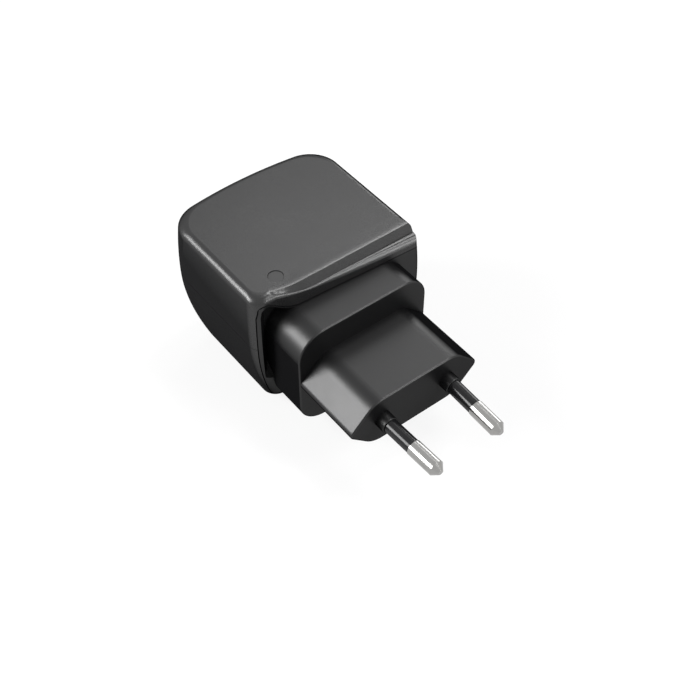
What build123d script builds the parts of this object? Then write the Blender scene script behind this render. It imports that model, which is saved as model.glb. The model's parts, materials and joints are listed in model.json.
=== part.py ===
from build123d import *
import os
from math import cos, pi, sin, sqrt

# USB wall charger with a detachable Europlug head. All sizes in millimetres.
#
# Everything is modelled in the plug's frame: X across the plug, Y from the mains face of the plug into
# the charger, Z up, with both pins at Z = 0. At the end the whole model is moved so that its origin is
# the middle of its base.

# ---- Europlug (EN 50075) ----
pin_diameter = 4.0
pin_length = 19.0
pin_spacing_face = 18.6
pin_spacing_tip = 17.5
pin_cone_length = 1.5
pin_tip_diameter = 1.4
pin_core_diameter = 3.0
pin_anchor_depth = 8.0       # where the collar lies that keeps the pin from pulling out
pin_anchor_diameter = 5.0
pin_anchor_length = 1.5
sleeve_diameter = 3.65
sleeve_length = 10.3
sleeve_anchor = 5.0
root_collar_diameter = 4.3
root_collar_length = 2.6

hex_length = 18.8
hex_height = 13.7
hex_reach = 18.8             # half width to the sharp 45 degree corner
hex_tip_radius = 1.5
hex_corner_radius = 6.5

# ---- block behind the six-sided plug body ----
block_half_width = 18.4
block_top = 14.15
block_bottom = -14.8
block_corner_radius = 7.0
block_edge_radius = 0.4
head_wall = 2.2

# ---- charger body ----
body_half_width = 22.9       # at its widest, the parting line
body_top = 20.3
body_bottom = -17.8
body_back = 67.95
back_bow = 2.1               # how far the back bulges beyond its corners
back_corner_radius = 8.0
front_left_radius = 3.2
front_right_radius = 1.2
crown_inset = 0.8            # how far the sides lean in at the top
keel_inset = 3.7             # and at keel_z, near the base
keel_z = -14.5
top_edge_radius = 1.8
bottom_edge_radius = 4.0
wall = 2.0
parting_z = 5.0
parting_gap = 0.12
lip_height = 1.0
lip_clearance = 0.1

# ---- nose: the collar of the plug head and the mouth that takes it ----
head_back = 33.0             # Y of the plug head's rear face
collar_depth = 5.4           # from there forward to the nose face at X = 0
nose_skew = -0.06            # change of the nose face's Y for each millimetre of X
nose_keel = 0.4              # share of the sides' lean that the nose takes below the parting
mouth_clearance = 0.2
mouth_rim = 0.8              # thickness of the shells round the mouth
cheek_start = 17.0           # right of this the collar wraps round to the charger's side
cheek_depth = 4.3            # and there it ends this far before the head's rear face
collar_top = 14.4            # top edge of the collar in the middle
collar_rise = -10.0          # left of this it climbs into the ear
ear_top = 18.3
ear_radius = 1.6
bulkhead = 1.6
cover_thickness = 1.5
cavity_half_width = 14.5
cavity_half_height = 9.0
cavity_corner_radius = 2.0
cavity_fit = 0.05            # between the rear cover and the cavity's walls
guide_post_x = 17.0
guide_post_diameter = 3.0
guide_post_length = 3.4
guide_clearance = 0.1

# ---- forehead between the flat top and the collar ----
ridge_back = 2.15            # how far the ridge lies behind the middle of the nose face
ridge_drop = 0.45            # and below the flat top
roll_length = 7.0            # the top rolls off towards the ridge over this length
crease_back = 1.2            # the same two for the crease above the brow
crease_drop = 2.95
brow_height = 2.4            # height of the brow's rounded front
forehead_start = -7.0        # left of this the crease climbs
forehead_end = -21.5         # and here, in the left corner, it has run out
forehead_climb = 3.2         # how far it climbs on the way
forehead_shift = 1.6         # and how far it moves back
forehead_step = 4.0          # distance between the sections it is lofted through

# ---- left finger scoop in the collar ----
scoop_lip = 0.5              # what stands between the scoop and the mouth
scoop_floor = 1.0            # collar left behind the deepest part of the scoop
scoop_heel_front = -8.0      # height of the scoop's lower end at the nose face
scoop_heel_back = -3.0       # and at its floor

# ---- status light window ----
window_x = -13.27
window_diameter = 3.7
window_clearance = 0.08
window_recess = 0.15
pipe_width = 2.4
pipe_gap = 0.05              # between the leg and the bulkhead
pipe_offset = 2.1            # the leg stands this far behind the window
pipe_shoulder = 18.5         # underside of the window disc
pipe_crown = 19.3            # top of the leg, inside the shell's wall
led_height = 1.6

# ---- circuit board ----
board_z = -8.6               # underside
board_thickness = 1.2
board_side_clearance = 0.8
board_front_clearance = 0.4
board_post_diameter = 4.0
board_pin_diameter = 1.6
board_pin_clearance = 0.1
board_post_places = [(-14.0, 40.0), (14.0, 36.8), (-13.5, 59.5), (15.6, 57.2)]

# ---- USB-A receptacle ----
usb_inner_width = 12.5
usb_inner_height = 5.12
usb_sheet = 0.35
usb_depth = 13.6
usb_recess = 0.3             # mouth of the receptacle below the charger's back face
usb_clearance = 0.15
usb_insulator = 3.4          # depth of the moulding that closes its rear
usb_corner_radius = 0.45
usb_leg_width = 1.8
usb_fit = 0.05               # between the moulding and the shell
usb_tongue_width = 11.1
usb_tongue_height = 1.84
usb_tongue_length = 8.9
usb_tongue_drop = 0.72       # gap between the tongue and the shell's ceiling
usb_contact_places = (-3.5, -1.0, 1.0, 3.5)
usb_contact_width = 1.0
usb_contact_thickness = 0.25

# ---- contacts between head and body ----
contact_spacing = 13.0
contact_width = 3.0
strip_thickness = 0.5
spring_thickness = 0.4
contact_gap = 0.1
contact_window_width = 3.6
contact_window_height = 5.0

# ---- parts on the board ----
core_width = 16.0
core_height = 14.0
core_depth = 5.0
core_leg = 4.0
core_yoke = 2.5
transformer_x = -1.2
transformer_y = 46.4
bobbin_base = 1.0
bobbin_depth = 11.0
bobbin_flange = 0.8
winding_margin = 0.5
bulk_capacitor_diameter = 8.0
bulk_capacitor_height = 13.0
bulk_capacitor_places = [(12.7, 43.2), (12.7, 52.4)]
output_capacitor_diameter = 6.3
output_capacitor_height = 11.0
output_capacitor_place = (-12.4, 54.6)
choke_diameter = 5.6
choke_height = 7.0
choke_flange = 1.2
choke_place = (-14.2, 46.6)
choke_lead_reach = 3.3       # from the drum's middle to each lead
resistor_diameter = 3.2
resistor_length = 8.0
resistor_lead_run = 1.5
resistor_cap_length = 1.4
resistor_waist = 0.35        # how much thinner its middle is
resistor_y = 39.2
lead_diameter = 0.6
y_capacitor_diameter = 7.0
y_capacitor_thickness = 3.2
y_capacitor_place = (12.4, 59.4)
lead_through = 1.2           # how far leads stick out below the board
lead_clearance = 0.1
board_clearance = 0.3        # parts on the board stand this far above it
can_groove_height = 1.8
can_groove_depth = 0.35
bridge_rectifier_place = (8.0, 44.0)
controller_chip_place = (-5.0, 45.0)
output_diode_place = (-8.5, 50.6)

pin_tilt = (pin_spacing_face - pin_spacing_tip) / 2 / pin_length
pin_floor = hex_length + head_wall                 # floor of the cavity behind the pins
pin_tail = pin_floor + 2 * strip_thickness
cover_front = head_back - cover_thickness
board_top = board_z + board_thickness
inner_floor = body_bottom + wall
nose_centre = head_back - collar_depth
bulkhead_front = head_back + mouth_clearance
bulkhead_back = bulkhead_front + bulkhead
pipe_leg_y = bulkhead_back + pipe_gap + pipe_width / 2
window_y = pipe_leg_y - pipe_offset
usb_z = board_top + usb_sheet + usb_inner_height / 2

FAR = 120.0                  # larger than anything in the model


# ------------------------------------------------------------------ helpers
def box(x, y, z):
    """A box from its (low, high) pairs."""
    size = (x[1] - x[0], y[1] - y[0], z[1] - z[0])
    middle = ((x[0] + x[1]) / 2, (y[0] + y[1]) / 2, (z[0] + z[1]) / 2)
    return Pos(*middle) * Box(*size)


def along_y(face, start, end):
    """Extrude a face drawn on the XZ plane (its Y points into the charger) from start to end."""
    return extrude(Pos(0, start, 0) * face, amount=end - start, dir=(0, 1, 0))


def rod(x, z, start, end, diameter):
    """A cylinder along Y."""
    return Pos(x, (start + end) / 2, z) * Rot(90, 0, 0) * Cylinder(diameter / 2, end - start)


def post(x, y, low, high, diameter):
    """A cylinder along Z."""
    return Pos(x, y, (low + high) / 2) * Cylinder(diameter / 2, high - low)


# ------------------------------------------------------------------ body form
def side_inset(z):
    """How far the barrelled sides stand in from the parting line at height z."""
    if z >= parting_z:
        return crown_inset * ((z - parting_z) / (body_top - parting_z)) ** 2
    return keel_inset * ((parting_z - z) / (parting_z - keel_z)) ** 2


def nose_y(x):
    return nose_centre + nose_skew * x


def nose_inset(z):
    """How far the nose face leans back at height z: below the parting line only in part."""
    upper = side_inset(max(z, parting_z))
    return upper + nose_keel * (side_inset(z) - upper)


def quarter_round(depth, radius):
    """Inset of a rounded edge that far inside the rounding (0 at its foot, radius at its crest)."""
    return radius - sqrt(max(radius ** 2 - max(depth, 0) ** 2, 0))


def plan_face(z, inset, rounding=0.0, forward=0.0):
    """The body's outline seen from above at height z: sides and back moved in by inset."""
    half = body_half_width - side_inset(z) - rounding - inset
    back = body_back - side_inset(z) - rounding - inset
    shoulder = back - back_bow
    front = nose_inset(z) + rounding - forward
    with BuildSketch(Plane.XY.offset(z)) as sketch:
        with BuildLine():
            Polyline((half, shoulder), (half, nose_y(half) + front),
                     (-half, nose_y(-half) + front), (-half, shoulder))
            ThreePointArc((-half, shoulder), (0, back), (half, shoulder))
        make_face()
        fillet(sketch.vertices().sort_by(Axis.Y)[-2:], back_corner_radius - inset)
        for side, radius in ((-1, front_left_radius), (1, front_right_radius)):
            corner = (side * half, nose_y(side * half) + front, 0)
            fillet(sketch.vertices().sort_by_distance(corner)[0], radius)
    return sketch.sketch


def body_form(inset=0.0, forward=0.0):
    """The charger's outer form, moved in by inset all round but at the nose."""
    top = body_top - inset
    bottom = body_bottom + inset
    top_radius = max(top_edge_radius - inset, 0.3)
    bottom_radius = max(bottom_edge_radius - inset, 0.3)
    low = bottom + bottom_radius
    high = top - top_radius
    turns = [i / 5 for i in range(5)]
    heights = ([bottom + bottom_radius * (1 - cos(pi / 2 * t)) for t in turns]
               + [low + (high - low) * (1 - cos(pi * i / 12)) / 2 for i in range(13)]
               + [high + top_radius * sin(pi / 2 * (1 - t)) for t in reversed(turns)])
    sections = []
    for z in heights:
        rounding = quarter_round(z - high, top_radius) + quarter_round(low - z, bottom_radius)
        sections.append(plan_face(z, inset, rounding, forward))
    return loft(sections)


def forehead_profile(x):
    """Side view at x of what is cut away: roll, ridge, slope to the crease, and brow in front of it."""
    way = min(max((forehead_start - x) / (forehead_start - forehead_end), 0), 1)
    climb = way ** 2 * (3 - 2 * way)
    ridge_y = nose_centre + ridge_back + forehead_shift * climb ** 2
    ridge_z = body_top - ridge_drop + 1.5 * ridge_drop * climb ** 3
    roll_z = ridge_z + 1.3 * ridge_drop
    crease_y = nose_centre + crease_back + forehead_shift * climb
    crease_z = body_top - crease_drop + forehead_climb * climb
    brow_z = crease_z - brow_height
    front = nose_y(x) + nose_inset(brow_z)
    with BuildSketch(Plane.YZ.offset(x)) as profile:
        with BuildLine():
            Bezier((ridge_y + roll_length, roll_z), (ridge_y + 1.2, ridge_z + 0.9 * ridge_drop),
                   (ridge_y, ridge_z))
            Line((ridge_y, ridge_z), (crease_y, crease_z))
            Bezier((crease_y, crease_z), (0.8 * front + 0.2 * crease_y, crease_z + 0.05),
                   (front - 0.15, brow_z))
            Polyline((front - 0.15, brow_z), (front - 0.6, brow_z - 4), (front - 20, brow_z - 4),
                     (front - 20, body_top + 4), (ridge_y + roll_length, body_top + 4),
                     (ridge_y + roll_length, roll_z))
        make_face()
    return profile.sketch


def forehead_cutter():
    """What is cut away above the brow, from the ridge on the top forward and down."""
    count = int(body_half_width / forehead_step) + 2
    return loft([forehead_profile(i * forehead_step) for i in range(-count, count + 1)])


def collar_outline(clearance):
    """Front view of the collar: level on the right, rising into the ear on the left."""
    top = collar_top - clearance
    crest = ear_top - clearance
    ear_x = -(body_half_width - crown_inset - mouth_rim) + clearance
    with BuildSketch(Plane.XZ) as outline:
        with BuildLine():
            right = Line((FAR / 2, top), (collar_rise, top))
            rise = Bezier(right @ 1, (collar_rise - 5.0, top), (collar_rise - 7.0, crest),
                          (ear_x + ear_radius + 0.2, crest))
            crown = Line(rise @ 1, (ear_x + ear_radius, crest))
            turn = JernArc(crown @ 1, (-1, 0), ear_radius, 90)
            Polyline(turn @ 1, (ear_x - 3.0, parting_z), (ear_x - 3.0, -FAR / 2), (FAR / 2, -FAR / 2),
                     (FAR / 2, top))
        make_face()
    return outline.sketch


# ------------------------------------------------------------------ plug head
def hex_outline():
    flat = hex_reach - hex_height / 2
    half = hex_height / 2
    with BuildSketch(Plane.XZ) as outline:
        with BuildLine():
            Polyline((-flat, half), (flat, half), (hex_reach, 0), (flat, -half), (-flat, -half),
                     (-hex_reach, 0), close=True)
        make_face()
        fillet(outline.vertices().filter_by(lambda v: abs(v.Y) > 0.9 * half), hex_corner_radius)
        for side in (-1, 1):
            fillet(outline.vertices().sort_by_distance((side * hex_reach, 0, 0))[0], hex_tip_radius)
    return outline.sketch


def block_outline(inset):
    height = block_top - block_bottom
    with BuildSketch(Plane.XZ) as outline:
        with Locations((0, (block_top + block_bottom) / 2)):
            RectangleRounded(2 * (block_half_width - inset), height - 2 * inset, block_corner_radius - inset)
    return outline.sketch


def scoop():
    """The hollow beside the block on the left, where a finger gets hold of the head."""
    lip_x = -(body_half_width - mouth_rim - mouth_clearance - scoop_lip)
    floor = head_back - scoop_floor
    front = nose_centre - 10
    with BuildSketch() as plan:
        with BuildLine():
            Polyline((lip_x, nose_y(lip_x)), (-block_half_width, floor), (0, floor), (0, front),
                     (lip_x, front), close=True)
        make_face()
    with BuildSketch(Plane.YZ) as profile:
        with BuildLine():
            Polyline((front, body_top), (floor, body_top), (floor, scoop_heel_back),
                     (nose_centre, scoop_heel_front), (front, scoop_heel_front), close=True)
        make_face()
    return (extrude(plan.sketch, amount=FAR / 2, both=True)
            & extrude(profile.sketch, amount=FAR / 2, both=True)
            & along_y(collar_outline(mouth_clearance + scoop_lip), 0, FAR))


def cheek(clearance):
    """The right end of the collar, flush with the charger's side, or the room for it."""
    return box((cheek_start - clearance, FAR), (-FAR, head_back - cheek_depth + clearance), (-FAR, FAR))


def mouth():
    """The room in the shells that takes the collar."""
    opening = body_form(mouth_rim, forward=10)
    opening = opening & box((-FAR, FAR), (-FAR, bulkhead_front), (-FAR, FAR))
    opening = opening + cheek(0)
    return opening & along_y(collar_outline(0), -FAR, FAR)


def collar():
    body = body_form(mouth_rim + mouth_clearance, forward=10)
    body = body & box((-FAR, FAR), (-FAR, head_back), (-FAR, FAR))
    body = (body + cheek(-mouth_clearance)) & body_form()
    return (body & along_y(collar_outline(mouth_clearance), -FAR, FAR)) - scoop()


def pin_place(side):
    """Where a pin leaves the mains face; its local Z runs along the pin towards the tip."""
    return Plane(origin=(side * pin_spacing_face / 2, 0, 0), x_dir=(0, 0, 1),
                 z_dir=(-side * pin_tilt, -1, 0)).location


def drum(low, high, diameter):
    """A cylinder about the local Z axis between two heights."""
    return Pos(0, 0, (low + high) / 2) * Cylinder(diameter / 2, high - low)


def pin(side):
    core = drum(-pin_tail, sleeve_length, pin_core_diameter)
    anchor = drum(-pin_anchor_depth - pin_anchor_length, -pin_anchor_depth, pin_anchor_diameter)
    cone_start = pin_length - pin_cone_length
    tip = drum(sleeve_length, cone_start, pin_diameter)
    cone = Pos(0, 0, cone_start + pin_cone_length / 2) * Cone(pin_diameter / 2, pin_tip_diameter / 2,
                                                              pin_cone_length)
    return pin_place(side) * (core + anchor + tip + cone)


def sleeve(side):
    tube = drum(-sleeve_anchor, sleeve_length, sleeve_diameter)
    return pin_place(side) * (tube - drum(-sleeve_anchor, sleeve_length, pin_core_diameter))


def plug_housing():
    hexagon = along_y(hex_outline(), 0, hex_length + head_wall)
    hexagon = fillet(hexagon.faces().sort_by(Axis.Y)[0].edges(), block_edge_radius)
    block = along_y(block_outline(0), hex_length, head_back)
    block = fillet(block.faces().sort_by(Axis.Y)[0].edges(), block_edge_radius)
    body = collar() + block + hexagon
    with BuildSketch(Plane.XZ) as hollow:
        RectangleRounded(2 * cavity_half_width, 2 * cavity_half_height, cavity_corner_radius)
    body -= along_y(hollow.sketch, pin_floor, head_back)
    for side in (-1, 1):
        root = rod(side * pin_spacing_face / 2, 0, -root_collar_length, 1, root_collar_diameter)
        body += fillet(root.edges().sort_by(Axis.Y)[0], 0.15)
    for side in (-1, 1):
        body -= pin_place(side) * drum(-sleeve_anchor, pin_length, sleeve_diameter)
        body -= pin(side)
    return body


def pad_slot(side, clearance):
    """The strip's way through the rear cover, and the seat of its pad."""
    outer = contact_spacing / 2 + contact_width / 2
    inner = contact_spacing / 2 - contact_width / 2
    half = contact_width / 2
    leg = box((inner - clearance, inner + strip_thickness + clearance), (pin_floor, head_back),
              (-half - clearance, half + clearance))
    pad = box((inner - clearance, outer + clearance), (head_back - strip_thickness, head_back),
              (-half - clearance, half + clearance))
    slot = leg + pad
    return slot if side > 0 else mirror(slot, about=Plane.YZ)


def terminal(side):
    """Brass strip from the pin's riveted tail to the pad on the rear cover."""
    tail_x = pin_spacing_face / 2 + pin_tilt * pin_floor
    inner = contact_spacing / 2 - contact_width / 2
    foot = box((inner, tail_x + pin_core_diameter), (pin_floor, pin_floor + strip_thickness),
               (-contact_width / 2 - 0.8, contact_width / 2 + 0.8))
    strip = foot if side > 0 else mirror(foot, about=Plane.YZ)
    return strip + pad_slot(side, 0) - pin(side)


def rear_cover():
    with BuildSketch(Plane.XZ) as plate:
        RectangleRounded(2 * (cavity_half_width - cavity_fit), 2 * (cavity_half_height - cavity_fit),
                         cavity_corner_radius)
    cover = along_y(plate.sketch, cover_front, head_back)
    for side in (-1, 1):
        cover -= pad_slot(side, 0.02)
    return cover


def guide_posts():
    """Two posts behind the collar that line the head up with the bulkhead."""
    posts = []
    for side in (-1, 1):
        guide = rod(side * guide_post_x, 0, head_back - 0.5, head_back + guide_post_length,
                    guide_post_diameter)
        posts.append(chamfer(guide.edges().sort_by(Axis.Y)[-1], 0.5))
    return posts


# ------------------------------------------------------------------ charger shells
def step_core(inset, top, clearance):
    """What lies inside the stepped joint between the shells."""
    core = extrude(plan_face(parting_z - 1, inset), amount=top - parting_z + 1)
    return core & box((-FAR, FAR), (bulkhead_back - clearance, FAR), (-FAR, FAR))


def usb_hole():
    half_width = usb_inner_width / 2 + usb_sheet + usb_clearance
    half_height = usb_inner_height / 2 + usb_sheet + usb_clearance
    return box((-half_width, half_width), (body_back - 8, FAR), (usb_z - half_height, usb_z + half_height))


def cavity():
    return body_form(wall) & box((-FAR, FAR), (bulkhead_back, FAR), (-FAR, FAR))


def shells():
    """Both shells together, before they part."""
    blank = body_form() - forehead_cutter() - mouth() - cavity() - usb_hole()
    for side in (-1, 1):
        blank -= rod(side * guide_post_x, 0, bulkhead_front - 1, bulkhead_back + 1,
                     guide_post_diameter + 2 * guide_clearance)
        centre = side * contact_spacing / 2
        blank -= box((centre - contact_window_width / 2, centre + contact_window_width / 2),
                     (bulkhead_front - 1, bulkhead_back + 1),
                     (-contact_window_height / 2, contact_window_height / 2))
    return blank


def light_pipe(clearance=0.0):
    """The round window on top and the leg that brings it light from the board."""
    half = pipe_width / 2 + clearance
    window = post(window_x, window_y, pipe_shoulder - clearance, body_top - window_recess,
                  window_diameter - 2 * window_clearance + 2 * clearance)
    leg = box((window_x - half, window_x + half), (pipe_leg_y - half, pipe_leg_y + half),
              (board_top + led_height + 0.1, pipe_crown + clearance))
    return window + leg


def upper_shell(both):
    shell = both & box((-FAR, FAR), (-FAR, FAR), (parting_z + parting_gap, FAR))
    shell -= step_core(wall / 2, parting_z + lip_height + lip_clearance, lip_clearance)
    shell -= light_pipe(window_clearance)
    return shell - post(window_x, window_y, pipe_shoulder, FAR, window_diameter)


def lower_shell(both):
    shell = both & box((-FAR, FAR), (-FAR, FAR), (-FAR, parting_z + lip_height))
    above = box((-FAR, FAR), (-FAR, FAR), (parting_z, FAR))
    shell -= above - step_core(wall / 2 + lip_clearance, FAR, 0)
    return shell + [post(x, y, inner_floor - 0.5, board_z, board_post_diameter)
                    + post(x, y, board_z - 0.5, board_top + 0.8, board_pin_diameter)
                    for x, y in board_post_places]


# ------------------------------------------------------------------ inside the charger
def lead_places():
    """Where round leads go through the board."""
    places = []
    for x, y in bulk_capacitor_places:
        places += [(x + side * bulk_capacitor_diameter / 5, y) for side in (-1, 1)]
    x, y = output_capacitor_place
    places += [(x + side * output_capacitor_diameter / 5, y) for side in (-1, 1)]
    x, y = choke_place
    places += [(x + side * choke_lead_reach, y) for side in (-1, 1)]
    x, y = y_capacitor_place
    places += [(x + side * y_capacitor_diameter * 0.3, y) for side in (-1, 1)]
    places += [(side * (resistor_length / 2 + resistor_lead_run), resistor_y) for side in (-1, 1)]
    return places


def circuit_board():
    outline = plan_face(board_z, wall + board_side_clearance)
    board = extrude(outline, amount=board_thickness)
    board = board & box((-FAR, FAR), (bulkhead_back + board_front_clearance, FAR), (-FAR, FAR))
    holes = [post(x, y, board_z - 1, board_top + 1, board_pin_diameter + 2 * board_pin_clearance)
             for x, y in board_post_places]
    holes += [post(x, y, board_z - 1, board_top + 1, lead_diameter + 2 * lead_clearance)
              for x, y in lead_places()]
    return board - holes - usb_shell_legs(lead_clearance) - usb_tails(lead_clearance)


def spring_contact(side):
    """Bronze strip on the board that bows forward through the bulkhead to touch the head's pad."""
    crown_y = head_back + contact_gap + spring_thickness / 2
    stand_y = bulkhead_back + board_front_clearance + 1.2
    foot_z = board_top + spring_thickness / 2
    with BuildSketch(Plane.YZ) as strip:
        with BuildLine():
            FilletPolyline((stand_y + 2.0, foot_z), (stand_y, foot_z), (stand_y, -3.6), (crown_y, 0),
                           (stand_y - 0.6, 2.6), radius=0.7)
        trace(line_width=spring_thickness)
    strip_solid = extrude(strip.sketch, amount=contact_width / 2, both=True)
    return Pos(side * contact_spacing / 2, 0, 0) * strip_solid


def usb_mouth_y():
    return body_back - side_inset(usb_z) - usb_recess


def usb_shell_legs(clearance=0.0):
    """Four flat legs that hold the receptacle's shell to the board."""
    legs = []
    half_width = usb_inner_width / 2 + usb_sheet / 2
    for x in (-half_width, half_width):
        for y in (usb_mouth_y() - usb_depth + 3.9, usb_mouth_y() - 7.0):
            legs.append(box((x - usb_sheet / 2 - clearance, x + usb_sheet / 2 + clearance),
                            (y - usb_leg_width / 2 - clearance, y + usb_leg_width / 2 + clearance),
                            (board_z - lead_through, usb_z)))
    return legs


def usb_shell():
    mouth_y = usb_mouth_y()
    with BuildSketch(Plane.XZ) as section:
        with Locations((0, usb_z)):
            RectangleRounded(usb_inner_width + 2 * usb_sheet, usb_inner_height + 2 * usb_sheet,
                             usb_corner_radius + usb_sheet)
            RectangleRounded(usb_inner_width, usb_inner_height, usb_corner_radius, mode=Mode.SUBTRACT)
    return along_y(section.sketch, mouth_y - usb_depth, mouth_y) + usb_shell_legs()


def usb_tongue_top():
    return usb_z + usb_inner_height / 2 - usb_tongue_drop


def usb_tongue():
    rear = usb_mouth_y() - usb_depth
    with BuildSketch(Plane.XZ) as section:
        with Locations((0, usb_z)):
            RectangleRounded(usb_inner_width - 2 * usb_fit, usb_inner_height - 2 * usb_fit, usb_corner_radius)
    block = along_y(section.sketch, rear, rear + usb_insulator)
    tongue = box((-usb_tongue_width / 2, usb_tongue_width / 2),
                 (rear + usb_insulator - 0.5, rear + usb_insulator + usb_tongue_length),
                 (usb_tongue_top() - usb_tongue_height, usb_tongue_top()))
    tongue = chamfer(tongue.faces().sort_by(Axis.Y)[-1].edges().filter_by(Axis.X), 0.3)
    return block + tongue - usb_contacts()


def usb_tails(clearance=0.0):
    """The contacts' solder tails, behind the moulding and down through the board."""
    rear = usb_mouth_y() - usb_depth
    half = usb_contact_width / 2 + clearance
    return [box((x - half, x + half), (rear - usb_contact_thickness - clearance, rear + clearance),
                (board_z - lead_through, usb_tongue_top() - usb_tongue_height)) for x in usb_contact_places]


def usb_contacts():
    """Four flat springs let into the underside of the tongue, each with its tail behind."""
    rear = usb_mouth_y() - usb_depth
    low = usb_tongue_top() - usb_tongue_height
    half = usb_contact_width / 2
    blades = [box((x - half, x + half),
                  (rear - usb_contact_thickness, rear + usb_insulator + usb_tongue_length - 1.0),
                  (low, low + usb_contact_thickness)) for x in usb_contact_places]
    return [blade + tail for blade, tail in zip(blades, usb_tails())]


def transformer_middle():
    return board_top + bobbin_base + core_height / 2


def transformer_core():
    middle = transformer_middle()
    centre = Pos(transformer_x, transformer_y, middle)
    core = Box(core_width, core_depth, core_height)
    window_width = (core_width - core_leg) / 2 - core_yoke
    for side in (-1, 1):
        core -= Pos(side * (core_leg + window_width) / 2, 0, 0) * Box(window_width, core_depth + 1,
                                                                      core_height - 2 * core_yoke)
    return centre * core


def bobbin_flange_size():
    window_width = (core_width - core_leg) / 2 - core_yoke
    return core_leg + 2 * window_width - 0.2


def transformer_bobbin():
    middle = transformer_middle()
    width = bobbin_flange_size()
    window_half = core_height / 2 - core_yoke
    tube = Box(core_leg + 1.6, core_depth + 1.6, 2 * window_half - 0.1)
    for side in (-1, 1):
        flange_z = side * (window_half - 0.05 - bobbin_flange / 2)
        tube += Pos(0, 0, flange_z) * Box(width, bobbin_depth, bobbin_flange)
    tube -= Box(core_leg + 0.1, core_depth + 0.1, core_height)
    base = box((-core_width / 2, core_width / 2), (-bobbin_depth / 2, bobbin_depth / 2),
               (board_top - middle, board_top - middle + bobbin_base))
    for side in (-1, 1):
        foot_y = side * (bobbin_depth / 2 - 0.75)
        base += box((-width / 2, width / 2), (foot_y - 0.75, foot_y + 0.75),
                    (board_top - middle, -window_half + bobbin_flange))
    return Pos(transformer_x, transformer_y, middle) * (tube + base - Box(core_width + 1, core_depth + 0.1,
                                                                          core_height))


def transformer_winding():
    window_half = core_height / 2 - core_yoke - bobbin_flange - 0.1
    width = bobbin_flange_size() - 2 * winding_margin
    coil = Box(width, bobbin_depth - 2 * winding_margin, 2 * window_half)
    coil = fillet(coil.edges().filter_by(Axis.Z), 1.5)
    return Pos(transformer_x, transformer_y, transformer_middle()) * (
        coil - Box(core_leg + 1.6, core_depth + 1.6, core_height))


def can_capacitor(x, y, diameter, height):
    """Electrolytic can standing on the board, with its rolled groove and two leads."""
    low = board_top + board_clearance
    radius = diameter / 2
    groove = low + can_groove_height
    with BuildSketch(Plane.XZ) as section:
        with BuildLine():
            Polyline((0, low), (radius - 0.4, low), (radius, low + 0.4), (radius, groove - can_groove_depth),
                     (radius - can_groove_depth, groove), (radius, groove + can_groove_depth),
                     (radius, low + height - 0.3), (radius - 0.3, low + height), (0, low + height),
                     close=True)
        make_face()
    can = Pos(x, y, 0) * revolve(section.sketch, axis=Axis.Z)
    for side in (-1, 1):
        can += post(x + side * diameter / 5, y, board_z - lead_through, low + 0.5, lead_diameter)
    return can


def fusible_resistor():
    axis_z = board_top + resistor_diameter / 2 + board_clearance
    half = resistor_length / 2
    reach = half + resistor_lead_run
    radius = resistor_diameter / 2
    with BuildSketch(Plane.XZ) as section:
        with BuildLine():
            Polyline((-half, 0), (-half, radius - 0.4), (-half + 0.4, radius),
                     (-half + resistor_cap_length, radius),
                     (-half + resistor_cap_length + resistor_waist, radius - resistor_waist),
                     (half - resistor_cap_length - resistor_waist, radius - resistor_waist),
                     (half - resistor_cap_length, radius), (half - 0.4, radius), (half, radius - 0.4),
                     (half, 0), close=True)
        make_face()
    body = Pos(0, resistor_y, axis_z) * revolve(section.sketch, axis=Axis.X)
    with BuildLine(Plane.XZ.offset(-resistor_y)) as lead:
        FilletPolyline((-reach, board_z - lead_through), (-reach, axis_z), (reach, axis_z),
                       (reach, board_z - lead_through), radius=0.8)
    start = lead.wires()[0]
    with BuildSketch(Plane(origin=start @ 0, z_dir=start % 0)) as round_wire:
        Circle(lead_diameter / 2)
    return body + sweep(round_wire.sketch, path=start)


def choke():
    """Drum core choke: two flanges with the winding between them."""
    x, y = choke_place
    low = board_top + board_clearance
    return [post(x, y, low, low + choke_flange, choke_diameter)
            + post(x, y, low, low + choke_height, choke_diameter / 2)
            + post(x, y, low + choke_height - choke_flange, low + choke_height, choke_diameter)]


def choke_winding():
    x, y = choke_place
    low = board_top + board_clearance
    coil = post(x, y, low + choke_flange, low + choke_height - choke_flange, choke_diameter - 0.6)
    coil -= post(x, y, low, low + choke_height, choke_diameter / 2)
    for side in (-1, 1):
        start = x + side * (choke_diameter / 2 - 0.5)
        end = x + side * choke_lead_reach
        turn_z = low + choke_flange + 0.1 + lead_diameter / 2
        coil += (post(end, y, board_z - lead_through, turn_z, lead_diameter)
                 + box((min(start, end), max(start, end)), (y - lead_diameter / 2, y + lead_diameter / 2),
                       (turn_z - lead_diameter / 2, turn_z + lead_diameter / 2)))
    return coil


def y_capacitor():
    x, y = y_capacitor_place
    radius = y_capacitor_diameter / 2
    low = board_top + 1.2
    disc = Pos(x, y, low + radius) * Rot(90, 0, 0) * Cylinder(radius, y_capacitor_thickness)
    disc = chamfer(disc.edges().filter_by(GeomType.CIRCLE), 0.9)
    for side in (-1, 1):
        disc += post(x + side * radius * 0.6, y, board_z - lead_through, low + radius, lead_diameter)
    return disc


def flat_package(place, width, length, height, lead_count):
    """Surface-mount package under the board with leads along two sides."""
    x, y = place
    top = board_z - 0.1
    package = box((x - width / 2, x + width / 2), (y - length / 2, y + length / 2), (top - height, top))
    package = chamfer(package.faces().sort_by(Axis.Z)[0].edges(), 0.25)
    for i in range(lead_count):
        lead_y = y + (i - (lead_count - 1) / 2) * length / lead_count
        package += box((x - width / 2 - 0.9, x + width / 2 + 0.9), (lead_y - 0.2, lead_y + 0.2),
                       (board_z - 0.25, board_z))
    return package


def status_led():
    return box((window_x - 1.4, window_x + 1.4), (pipe_leg_y - 1.0, pipe_leg_y + 1.0),
               (board_top, board_top + led_height))


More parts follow.
